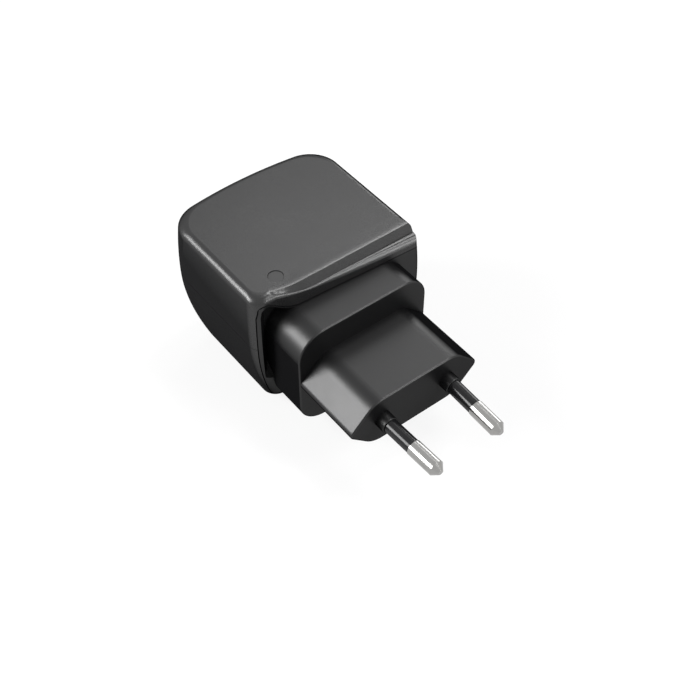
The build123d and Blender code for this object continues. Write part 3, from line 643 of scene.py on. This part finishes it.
def choke_coil(pieces):
    """Wire wound on the choke: a helix of constant pitch, led in from one pin hole and out to the other."""
    core_low, core_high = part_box("choke_core")
    wound_low, wound_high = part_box("choke_winding")
    centre = np.array([(core_low.x + core_high.x) / 2, (core_low.y + core_high.y) / 2, 0.0])
    wire = pieces.coil_wire
    flange = 1.2 * MM + pieces.coil_margin
    low, high = core_low.z + flange + wire / 2, core_high.z - flange - wire / 2
    reach = (core_high.x - core_low.x) / 2 - 0.3 * MM - wire / 2
    turns = int((high - low) / (wire * 1.03)) + 0.5
    turn = np.linspace(math.pi, math.pi + turns * TAU, int(turns * 48))
    helix = centre + np.stack([reach * np.cos(turn), reach * np.sin(turn),
                               low + (high - low) * (turn - turn[0]) / (turn[-1] - turn[0])], axis=-1)
    lead = (wound_high.x - wound_low.x) / 2 - 0.3 * MM
    up, bend, run = np.array([0, 0, 1.0]), 0.9 * MM, 1.0 * MM
    feet = [centre + [side * lead, 0, wound_low.z] for side in (-1, 1)]
    knees = [centre + [side * lead, 0, low - 0.4 * MM] for side in (-1, 1)]
    begin, finish = unit(helix[1] - helix[0]), unit(helix[-1] - helix[-2])
    lead_in = bezier(knees[0], knees[0] + up * bend, helix[0] - begin * bend, helix[0], 14)[:-1]
    lead_out = bezier(helix[-1], helix[-1] + finish * run, knees[1] + up * 3 * run, knees[1], 24)[1:]
    path = np.concatenate([straight(feet[0], knees[0], 6), lead_in, helix, lead_out,
                           straight(feet[1], knees[1], 6)[::-1]])
    away = (path - centre) * [1, 1, 0]
    return tube(path, away, wire)


def tape_wraps(pieces):
    """Tape round the winding: a round-cornered loop stacked up the leg, each turn of it lapped over the last.

    Its reach grows by a half wave up the leg, and by a sawtooth of one tape's thickness at each turn."""
    low, high, middle = span("transformer_winding")
    half = (high - low) / 2
    corner, play = 1.5 * MM, 0.05 * MM
    centre, out = rounded_loop(half.x - play, half.y - play, corner, 9)
    rise = np.concatenate([[0.0, 0.0], np.linspace(0.0, 1.0, 49), [1.0, 1.0]])
    lap = (rise * pieces.tape_turns) % 1.0
    swell = pieces.tape_bulge * np.sin(math.pi * rise) * 0.6 - 0.06 * MM * (1 - lap) ** 2
    inner = 2.2 * MM
    swell[[0, -1]] = -inner
    swell[[1, -2]] = -0.35 * MM
    reach = corner + swell[:, None, None]
    flat = centre + out * np.maximum(reach, -half.x)
    height = np.repeat((low.z + (high.z - low.z) * rise)[:, None, None], flat.shape[1], axis=1)
    return np.concatenate([flat + [middle.x, middle.y], height], axis=-1)


def core_band(node="transformer_core"):
    """Tape that holds the core's halves: a flat strip carried round the core, thin lips at both edges."""
    low, high, middle = span(node)
    half = (high - low) / 2
    corner, play = 0.5 * MM, 0.06 * MM
    centre, out = rounded_loop(half.x + play, half.z + play, corner, 6)
    across = np.array([-1.0, -1.0, -0.9, 0.0, 0.9, 1.0, 1.0]) * 1.6 * MM
    lift = np.array([-0.10, 0.0, 0.04, 0.05, 0.04, 0.0, -0.10]) * MM
    loop = centre + out * (corner + lift[:, None, None])
    depth = np.repeat(across[:, None], loop.shape[1], axis=1)
    return np.stack([loop[..., 0] + middle.x, depth + middle.y, loop[..., 1] + middle.z], axis=-1)


def can_sleeve(node, pieces):
    """Shrunk sleeve: a profile that follows the can's wall and groove and folds over its rims."""
    low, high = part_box(node)
    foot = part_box("circuit_board")[1].z + 0.3 * MM
    radius = (high.x - low.x) / 2
    wall, lip = pieces.sleeve_wall, pieces.sleeve_lip
    groove = foot + 1.8 * MM
    reach = np.array([radius - 1.0 * MM, radius - 0.5 * MM, radius - 0.1 * MM, radius + wall, radius + wall,
                      radius - 0.20 * MM + wall, radius + wall, radius + wall, radius + wall * 0.8,
                      radius - 0.25 * MM, radius - lip * 0.6, radius - lip, radius - lip])
    height = np.array([foot - 0.02 * MM, foot - wall, foot - wall * 0.4, foot + 0.5 * MM, groove - 0.45 * MM,
                       groove, groove + 0.45 * MM, high.z - 0.6 * MM, high.z - 0.15 * MM,
                       high.z + wall, high.z + wall, high.z + wall * 0.6, high.z - 0.02 * MM])
    return turned((low + high) / 2, reach, height)


def can_top(node, pieces):
    """Scored top of a can: a shallow dome whose height falls along two crossed grooves."""
    low, high, centre = span(node)
    radius = (high.x - low.x) / 2 - pieces.sleeve_lip * 0.7
    share = np.linspace(0, 1, 40)
    top = turned(centre, radius * (1 - share), high.z, 96)
    across, along = (top[..., axis] - centre[axis] for axis in (0, 1))
    reach = np.hypot(across, along)
    score = np.exp(-(np.minimum(np.abs(across), np.abs(along)) / (0.13 * MM)) ** 2)
    fade = 1 / (1 + np.exp((reach - radius * 0.78) / (0.12 * MM)))
    rim = np.clip((radius - reach) / (0.25 * MM), 0, 1)
    top[..., 2] += (0.13 * MM - pieces.vent_depth * score * fade) * np.sin(rim * math.pi / 2)
    return top


def solder_joints(places, pieces):
    """Joints under the board: a skirt that narrows to its lead as (1 - height) to the power 2.2."""
    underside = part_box("circuit_board")[0].z
    share = np.linspace(0, 1, 9)
    reach = BOARD_HOLE_LEAD + (pieces.solder_reach - BOARD_HOLE_LEAD) * (1 - share) ** 2.2
    height = underside - pieces.solder_height * share
    reach = np.concatenate([[0.0, pieces.solder_reach], reach, [0.0]])
    height = np.concatenate([[underside, underside], height, [height[-1] - 0.12 * MM]])
    one = turned((0, 0), reach, height, 20)
    return one[None] + np.pad(np.array(places), ((0, 0), (0, 1)))[:, None, None]


def port_spring(side_x, side_z, pieces):
    """Leaf that presses on an inserted plug: a strip whose middle stands off the wall by half a sine."""
    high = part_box("usb_shell")[1]
    sheet, port_height, from_middle = 0.35 * MM, 5.82 * MM, 3.1 * MM
    root, length = high.y - 1.6 * MM, 4.6 * MM
    ceiling = high.z - sheet
    bottom = high.z - port_height + sheet
    share = np.linspace(0, 1, 25)
    lift = pieces.spring_lift * np.sin(math.pi * share ** 0.8) ** 1.5 + 0.02 * MM
    base = ceiling - lift if side_z > 0 else bottom + lift
    depth = root - length * share
    across = np.array([-1, -1, -0.7, 0.7, 1, 1]) * pieces.spring_width / 2
    up = np.array([0.0, 0.07, 0.10, 0.10, 0.07, 0.0]) * MM * (1 if side_z < 0 else -1)
    grid = np.empty((len(share), len(across), 3))
    grid[..., 0] = side_x * from_middle + across
    grid[..., 1] = depth[:, None]
    grid[..., 2] = base[:, None] + up
    return grid


def lead_places():
    """Where leads come through the board, from the boxes of the pieces that stand on it."""
    places = []
    for node, share in ((CANS[0], 0.2), (CANS[1], 0.2), (CANS[2], 0.2), ("y_capacitor", 0.3)):
        low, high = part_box(node)
        places += [((low.x + high.x) / 2 + side * share * (high.x - low.x), (low.y + high.y) / 2)
                   for side in (-1, 1)]
    for node in ("fusible_resistor", "choke_winding"):
        low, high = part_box(node)
        places += [(x, (low.y + high.y) / 2) for x in (low.x + 0.3 * MM, high.x - 0.3 * MM)]
    low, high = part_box("usb_shell")
    places += [(x, y) for x in (low.x + 0.175 * MM, high.x - 0.175 * MM)
               for y in (low.y + 3.9 * MM, high.y - 7.0 * MM)]
    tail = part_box("usb_contacts")[0].y + 0.125 * MM
    return places + [(x * MM, tail) for x in (-3.5, -1.0, 1.0, 3.5)]


# ------------------------------------------------------------------ operators
class CHARGER_OT_finish_shells(bpy.types.Operator):
    """Gives the two shells their eroded black plastic"""
    bl_idname = "charger.finish_shells"
    bl_label = "Finish shells"

    def execute(self, context):
        plastics = context.scene.charger_plastics
        cover(moulded_plastic("shell_plastic_finish", plastics.shell_colour[:], plastics.shell_roughness,
                              plastics.shell_gloss, plastics.grain_size), "upper_shell", "lower_shell")
        return {"FINISHED"}


class CHARGER_OT_finish_light(bpy.types.Operator):
    """Smokes the status window and finishes the light below it"""
    bl_idname = "charger.finish_light"
    bl_label = "Finish status light"

    def execute(self, context):
        plastics = context.scene.charger_plastics
        window = smoked_window("light_pipe_finish", plastics.shell_colour[:], plastics.shell_gloss)
        cover(window, "light_pipe")
        cover(lamp_chip("status_led_finish", "status_led"), "status_led")
        return {"FINISHED"}


class CHARGER_OT_finish_head(bpy.types.Operator):
    """Gives the plug head and its rear cover their smoother black plastic"""
    bl_idname = "charger.finish_head"
    bl_label = "Finish plug head"

    def execute(self, context):
        plastics = context.scene.charger_plastics
        tone = plastics.head_colour[:]
        cover(moulded_plastic("head_plastic_finish", tone, plastics.head_roughness, plastics.head_gloss,
                              plastics.grain_size, depth=0.05), "plug_housing")
        cover(moulded_plastic("rear_cover_finish", shade(tone, 1.3), plastics.shell_roughness,
                              plastics.head_gloss, plastics.grain_size), "head_rear_cover")
        return {"FINISHED"}


class CHARGER_OT_finish_pins(bpy.types.Operator):
    """Plates the pins, and finishes their sleeves, terminals and spring contacts"""
    bl_idname = "charger.finish_pins"
    bl_label = "Finish pins and contacts"

    def execute(self, context):
        plastics, metals = context.scene.charger_plastics, context.scene.charger_metals
        brass = metals.brass_colour[:]
        # The pins get the nickel set darker than real plating, as painted shade for dark reflections.
        cover(plated_metal("pin_nickel_painted_dark", metals.nickel_colour_painted_dark[:], metals.nickel_roughness,
                           undercoat=brass, wear=0.12), "live_pin", "neutral_pin")
        cover(sleeve_plastic("sleeve_finish", plastics.sleeve_colour[:]), "live_sleeve", "neutral_sleeve")
        cover(plated_metal("terminal_brass_finish", brass, 0.24, (1.0, 0.06, 1.0), wear=0.5),
              "live_terminal", "neutral_terminal")
        cover(plated_metal("spring_bronze_finish", metals.bronze_colour[:], 0.22, (0.05, 1.0, 1.0), wear=0.4),
              "live_spring_contact", "neutral_spring_contact")
        return {"FINISHED"}


class CHARGER_OT_finish_port(bpy.types.Operator):
    """Finishes the receptacle and adds the four leaves that hold a plug in it"""
    bl_idname = "charger.finish_port"
    bl_label = "Finish receptacle"

    def execute(self, context):
        metals, pieces = context.scene.charger_metals, context.scene.charger_pieces
        tin = plated_metal("port_tin_finish", metals.tin_colour[:], 0.26, (0.06, 1.0, 1.0), wear=0.25)
        cover(tin, "usb_shell")
        cover(liquid_crystal_plastic("port_insulator_finish", (0.012, 0.012, 0.013)), "usb_tongue")
        cover(plated_metal("contact_gold_finish", metals.gold_colour[:], 0.18, (1.0, 0.05, 1.0),
                           undercoat=(0.62, 0.58, 0.50), wear=0.4), "usb_contacts")
        springs = piece("port_springs", [port_spring(side_x, side_z, pieces)
                                         for side_x in (-1, 1) for side_z in (-1, 1)], tin)
        sheet = springs.modifiers.new("sheet", "SOLIDIFY")
        sheet.thickness = 0.12 * MM
        sheet.offset = 0.0
        return {"FINISHED"}


class CHARGER_OT_finish_board(bpy.types.Operator):
    """Finishes the circuit board and its chips, and solders its leads"""
    bl_idname = "charger.finish_board"
    bl_label = "Finish circuit board"

    def execute(self, context):
        plastics, metals = context.scene.charger_plastics, context.scene.charger_metals
        cover(laminate("board_laminate_finish", plastics.board_colour[:]), "circuit_board")
        for node in ("bridge_rectifier", "controller_chip", "output_diode"):
            cover(moulded_package(node + "_finish", node), node)
        solder = plated_metal("solder_finish", metals.tin_colour[:], 0.24, EVEN, wear=0.4)
        piece("solder_joints", [solder_joints(lead_places(), context.scene.charger_pieces)], solder,
              close_columns=True)
        return {"FINISHED"}


class CHARGER_OT_wind_transformer(bpy.types.Operator):
    """Wraps the transformer's winding and core in tape and finishes its ferrite and bobbin"""
    bl_idname = "charger.wind_transformer"
    bl_label = "Wind transformer"

    def execute(self, context):
        tape = film_tape("coil_tape_finish", (0.72, 0.46, 0.03), "transformer_winding")
        wraps = piece("transformer_wraps", [tape_wraps(context.scene.charger_pieces)], tape,
                      close_columns=True)
        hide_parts("transformer_winding")
        piece("transformer_core_band", [core_band()], tape, close_columns=True)
        cover(tape, "transformer_winding")
        cover(sintered_ferrite("core_ferrite_finish", (0.035, 0.035, 0.038)), "transformer_core")
        cover(glossy_phenolic("bobbin_finish", (0.014, 0.013, 0.013)), "transformer_bobbin")
        return {"FINISHED"}


class CHARGER_OT_wind_choke(bpy.types.Operator):
    """Winds the choke with enamelled wire and finishes its drum"""
    bl_idname = "charger.wind_choke"
    bl_label = "Wind choke"

    def execute(self, context):
        copper = enamelled_wire("coil_copper_finish", context.scene.charger_metals.copper_colour[:])
        coil = piece("choke_coil", [choke_coil(context.scene.charger_pieces)], copper,
                     close_columns=True)
        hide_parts("choke_winding")
        cover(copper, "choke_winding")
        cover(sintered_ferrite("drum_ferrite_finish", (0.050, 0.050, 0.052)), "choke_core")
        return {"FINISHED"}


class CHARGER_OT_dress_capacitors(bpy.types.Operator):
    """Sleeves the capacitor cans, scores their tops and finishes the disc capacitor and the resistor"""
    bl_idname = "charger.dress_capacitors"
    bl_label = "Dress capacitors"

    def execute(self, context):
        pieces = context.scene.charger_pieces
        for number, node in enumerate(CANS, 1):
            metal = spun_can(node + "_finish", (0.70, 0.70, 0.69), node)
            film_tone = (0.010, 0.022, 0.060) if node != "output_capacitor" else (0.012, 0.045, 0.030)
            film = shrink_film(node + "_film_finish", film_tone, (0.55, 0.58, 0.60), node)
            cover(metal, node)
            piece("can_sleeve_%d" % number, [can_sleeve(node, pieces)], film,
                  close_columns=True)
            piece("can_top_%d" % number, [can_top(node, pieces)], metal, close_columns=True)
        cover(dipped_ceramic("y_capacitor_finish", (0.020, 0.130, 0.360), "y_capacitor"), "y_capacitor")
        cover(lacquered_body("fusible_resistor_finish", (0.46, 0.36, 0.22), "fusible_resistor"),
              "fusible_resistor")
        return {"FINISHED"}


class CHARGER_OT_set_stage(bpy.types.Operator):
    """Sets the floor, the world, the soft lamps and the camera"""
    bl_idname = "charger.set_stage"
    bl_label = "Set stage"

    def execute(self, context):
        studio = context.scene.charger_studio
        make_floor(studio)
        make_world()
        for name, azimuth, elevation, width, height, level in LAMPS:
            make_lamp(name, azimuth, elevation, width, height, level * studio.lamp_level,
                      studio.lamp_distance)
        make_camera(studio)
        context.scene.view_settings.view_transform = "Standard"
        return {"FINISHED"}


# ------------------------------------------------------------------ studio
# Each lamp: name, direction it stands in (azimuth and elevation, degrees), width and height (metres),
# and brightness of its face, where 1 is white.
LAMPS = (
    ("left_key", -118, 28, 0.42, 0.34, 18.0),
    ("front_low", 24, 15, 0.20, 0.22, 13.0),
    ("front_mid", 34, 42, 0.20, 0.22, 13.0),
    ("crown", 98, 63, 0.24, 0.22, 14.0),
    ("right_back", 126, 20, 0.18, 0.20, 8.0),
    ("back_panel", 142, 46, 0.26, 0.26, 1.8),
    ("right_low", 108, 12, 0.18, 0.20, 4.6),
)


def seen_directly(recipe):
    """1 for rays from the camera, and for those that metal and glass show; 0 for light that lands softly."""
    rays = [recipe.node("ShaderNodeLightPath", output=kind)
            for kind in ("Is Camera Ray", "Is Glossy Ray", "Is Transmission Ray")]
    return (rays[0] + rays[1] + rays[2]).held()


def make_floor(studio):
    """A white floor: part of its white is its own, so the shadow stays faint, and far away all of it is."""
    reach, shadowed_to, white_from = 3.0, 0.25, 0.80
    mesh = bpy.data.meshes.new("floor")
    mesh.from_pydata([(-reach, -reach, 0), (reach, -reach, 0), (reach, reach, 0), (-reach, reach, 0)], [],
                     [(0, 1, 2, 3)])
    floor = bpy.data.objects.new("floor", mesh)
    bpy.context.scene.collection.objects.link(floor)
    paper = Recipe("floor_paper", (0.8, 0.8, 0.8), 0.9)
    glow = paper.node("ShaderNodeEmission", None, {"Color": WHITE, "Strength": 1.0})
    far = paper.distance((0.0, 0.0, 0.0)).above(shadowed_to, white_from)
    share = seen_directly(paper) * (studio.floor_glow + far * (1 - studio.floor_glow))
    paper.show(paper.node("ShaderNodeMixShader", None, {0: share, 1: paper.glossy, 2: glow}))
    mesh.materials.append(paper.material)


def make_world():
    """Dim all round for soft light, white where it is seen."""
    world = bpy.data.worlds.new("studio")
    bpy.context.scene.world = world
    world.use_nodes = True
    sky = Graph(world.node_tree)
    sky.tree.nodes.clear()
    fill = sky.node("ShaderNodeBackground", None, {"Color": WHITE, "Strength": 0.15})
    backdrop = sky.node("ShaderNodeBackground", None, {"Color": WHITE, "Strength": 1.0})
    mixed = sky.node("ShaderNodeMixShader", None, {0: seen_directly(sky), 1: fill, 2: backdrop})
    sky.node("ShaderNodeOutputWorld", None, {"Surface": mixed}, None)


def make_lamp(name, azimuth, elevation, width, height, level, distance):
    light = bpy.data.lights.new(name, "AREA")
    light.shape = "RECTANGLE"
    light.size = width
    light.size_y = height
    light.energy = level * math.pi * width * height
    turn, rise = math.radians(azimuth), math.radians(elevation)
    outward = Vector((math.sin(turn) * math.cos(rise), -math.cos(turn) * math.cos(rise), math.sin(rise)))
    made = bpy.data.objects.new(name, light)
    made.location = (CAD_BOX[0] + CAD_BOX[1]) / 2 + outward * distance
    made.rotation_mode = "QUATERNION"
    made.rotation_quaternion = (-outward).to_track_quat("-Z", "Y")
    bpy.context.scene.collection.objects.link(made)


def make_camera(studio):
    """Camera on a line from the aim point, turned by the two view angles."""
    azimuth, elevation = studio.view_azimuth, studio.view_elevation
    back = Vector((math.sin(azimuth) * math.cos(elevation), -math.cos(azimuth) * math.cos(elevation),
                   math.sin(elevation)))
    right = Vector((math.cos(azimuth), math.sin(azimuth), 0.0))
    up = back.cross(right)
    aim = Vector(MOUNTS["mains_face"]["pos_m"]) + right * studio.aim_right + up * studio.aim_up
    camera = bpy.data.cameras.new("camera")
    camera.lens = studio.focal_length
    camera.sensor_width = 36.0
    camera.clip_start = 0.01
    camera.clip_end = 20.0
    made = bpy.data.objects.new("camera", camera)
    turn = Matrix((right, up, back)).transposed().to_4x4()
    made.matrix_world = Matrix.Translation(aim + back * studio.view_distance) @ turn
    bpy.context.scene.collection.objects.link(made)
    bpy.context.scene.camera = made


# ------------------------------------------------------------------ panel and registration
class CHARGER_PT_sidebar(bpy.types.Panel):
    """Lists the charger's settings and its operators"""
    bl_idname = "CHARGER_PT_sidebar"
    bl_label = "Wall charger"
    bl_space_type = "VIEW_3D"
    bl_region_type = "UI"
    bl_category = "Charger"

    def draw(self, context):
        column = self.layout.column()
        for name in GROUPS:
            group = getattr(context.scene, name)
            for key in group.__annotations__:
                column.prop(group, key)
        for operator in OPERATORS:
            column.operator(operator.bl_idname)


GROUPS = {"charger_plastics": ChargerPlastics, "charger_metals": ChargerMetals,
          "charger_pieces": ChargerPieces, "charger_studio": ChargerStudio}
OPERATORS = (CHARGER_OT_finish_shells, CHARGER_OT_finish_light, CHARGER_OT_finish_head,
             CHARGER_OT_finish_pins, CHARGER_OT_finish_port, CHARGER_OT_finish_board,
             CHARGER_OT_wind_transformer, CHARGER_OT_wind_choke, CHARGER_OT_dress_capacitors,
             CHARGER_OT_set_stage)
CLASSES = (*GROUPS.values(), *OPERATORS, CHARGER_PT_sidebar)


def register():
    for entry in CLASSES:
        bpy.utils.register_class(entry)
    for name, group in GROUPS.items():
        setattr(bpy.types.Scene, name, PointerProperty(type=group))


def unregister():
    for name in GROUPS:
        delattr(bpy.types.Scene, name)
    for entry in reversed(CLASSES):
        bpy.utils.unregister_class(entry)


def main():
    register()
    bpy.ops.charger.finish_shells()
    bpy.ops.charger.finish_light()
    bpy.ops.charger.finish_head()
    bpy.ops.charger.finish_pins()
    bpy.ops.charger.finish_port()
    bpy.ops.charger.finish_board()
    bpy.ops.charger.wind_transformer()
    bpy.ops.charger.wind_choke()
    bpy.ops.charger.dress_capacitors()
    bpy.ops.charger.set_stage()


if __name__ == "__main__":
    main()
